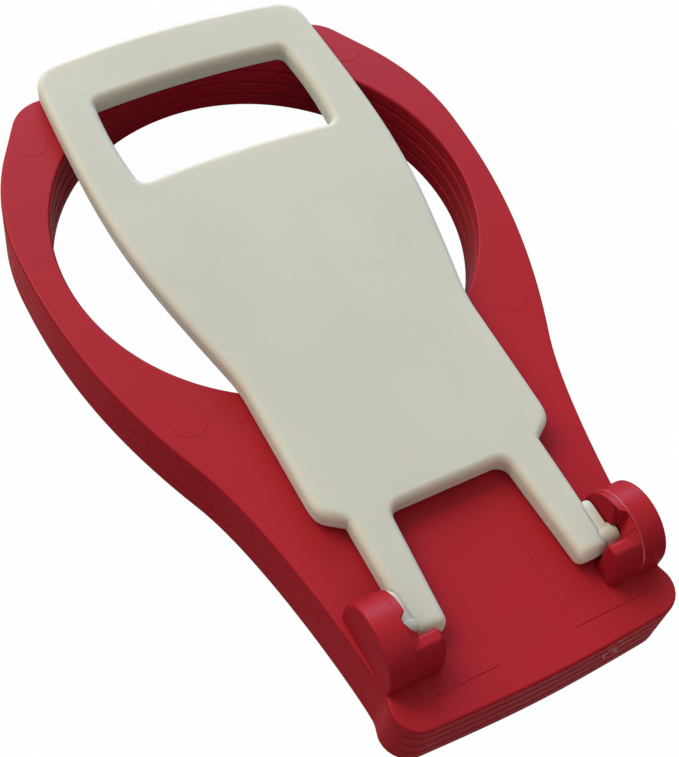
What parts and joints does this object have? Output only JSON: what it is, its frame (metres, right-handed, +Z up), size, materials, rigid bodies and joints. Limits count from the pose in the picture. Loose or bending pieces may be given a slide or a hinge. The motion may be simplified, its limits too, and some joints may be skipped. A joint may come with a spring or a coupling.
{
  "type": "folding cup carrier",
  "caption": "Folding carrier for takeaway cups: a stack of ring plates that fan out to a cross on one pivot, with a fold-down handle clipped to the top plate.",
  "frame": {"origin": "middle of the folded carrier's box, on the surface it rests on", "axes": "+Y along the plates, from the pivot towards the cup holes; +X across them, along the handle's hinge; +Z up, out of the top plate"},
  "size_m": [0.0966, 0.155, 0.0245],
  "materials": {
    "red_plastic": "satin moulded plastic, crimson red",
    "cream_plastic": "satin moulded plastic, pale greenish cream"
  },
  "bodies": {
    "top": {"top_ring_plate": "red_plastic", "pivot_cap": "red_plastic"},
    "second": {"second_ring_plate": "red_plastic"},
    "third": {"third_ring_plate": "red_plastic"},
    "bottom": {"bottom_ring_plate": "red_plastic"},
    "handle": {"handle": "cream_plastic"}
  },
  "joints": [
    {"name": "second_plate_fan", "type": "hinge", "parent": "top", "child": "second", "pos_m": [0, -0.061, 0], "axis": [0, 0, -1], "range_deg": [0, 90]},
    {"name": "third_plate_fan", "type": "hinge", "parent": "second", "child": "third", "pos_m": [0, -0.061, 0], "axis": [0, 0, -1], "range_deg": [0, 90]},
    {"name": "bottom_plate_fan", "type": "hinge", "parent": "third", "child": "bottom", "pos_m": [0, -0.061, 0], "axis": [0, 0, -1], "range_deg": [0, 90]},
    {"name": "handle_hinge", "type": "hinge", "parent": "top", "child": "handle", "pos_m": [0, -0.061, 0.01667], "axis": [1, 0, 0], "range_deg": [0, 95]}
  ]
}
